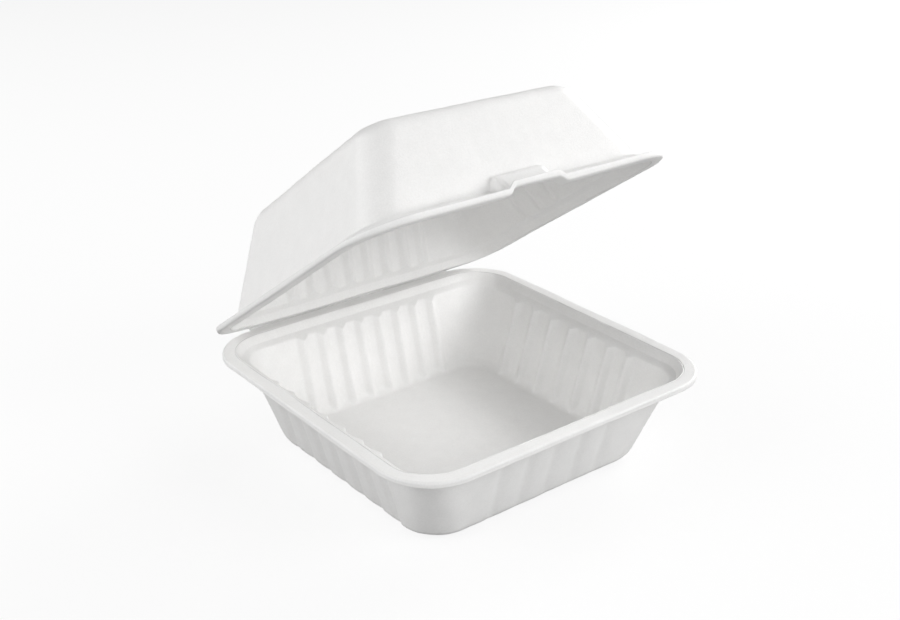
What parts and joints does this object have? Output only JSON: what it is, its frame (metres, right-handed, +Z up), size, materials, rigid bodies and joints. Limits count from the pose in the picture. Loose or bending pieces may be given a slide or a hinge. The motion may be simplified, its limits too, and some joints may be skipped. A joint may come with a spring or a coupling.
{
  "type": "bagasse meal box",
  "caption": "Moulded sugar-cane pulp clamshell meal box: fluted square tray with a turned-down rim and a hinged domed lid with a finger notch at the front.",
  "frame": {"origin": "centre of the tray's flat underside, on the surface it stands on", "axes": "+Z up; +Y from the finger notch at the front towards the hinge crease at the back; +X along the crease, so the box's right-hand side seen from the front"},
  "size_m": [0.152, 0.1511, 0.1485],
  "materials": {
    "pulp": "matt moulded pulp with fine fibres, off-white"
  },
  "bodies": {
    "tray": {"tray": "pulp"},
    "lid": {"lid": "pulp"}
  },
  "joints": [
    {"name": "lid_hinge", "type": "hinge", "parent": "tray", "child": "lid", "pos_m": [0, 0.0745, 0.04015], "axis": [-1, 0, 0], "range_deg": [-35, 142]}
  ]
}
